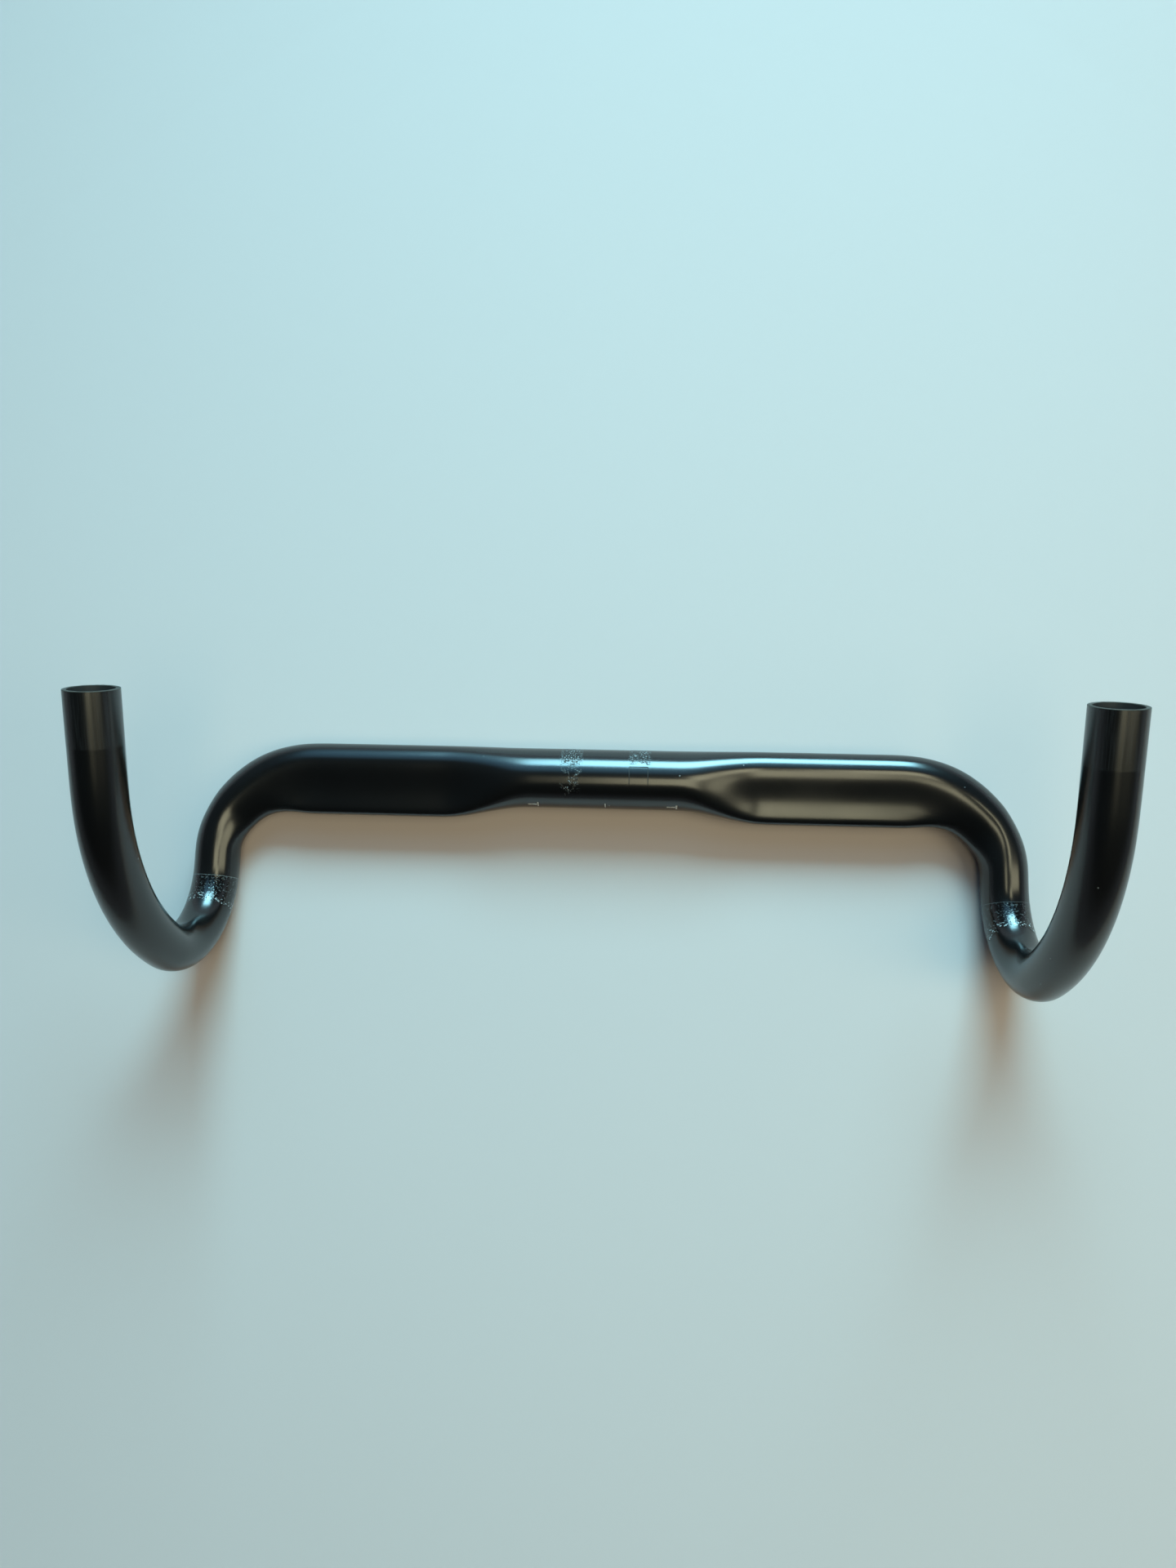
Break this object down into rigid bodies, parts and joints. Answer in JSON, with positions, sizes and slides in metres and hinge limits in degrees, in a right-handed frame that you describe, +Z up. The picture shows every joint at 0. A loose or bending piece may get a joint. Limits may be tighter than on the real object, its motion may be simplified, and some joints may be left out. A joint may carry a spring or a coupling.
{
  "type": "drop handlebar",
  "caption": "Hollow one-piece drop handlebar with flattened winged tops, a round stem clamp zone, compact hooks and open drop ends, lying upside down.",
  "frame": {"origin": "centre of the round stem clamp zone, on the bar's own axis", "axes": "+X along the tops to the right as pictured, +Y towards the open ends of the drops, so the hooks reach towards -Y, and +Z up from the surface that the bar lies on; the bar lies upside down, so +Z is down on the bicycle"},
  "size_m": [0.4558, 0.1289, 0.1595],
  "materials": {
    "bar": "satin black, as lacquered carbon fibre laminate has"
  },
  "bodies": {
    "root": {"handlebar": "bar"}
  },
  "joints": []
}
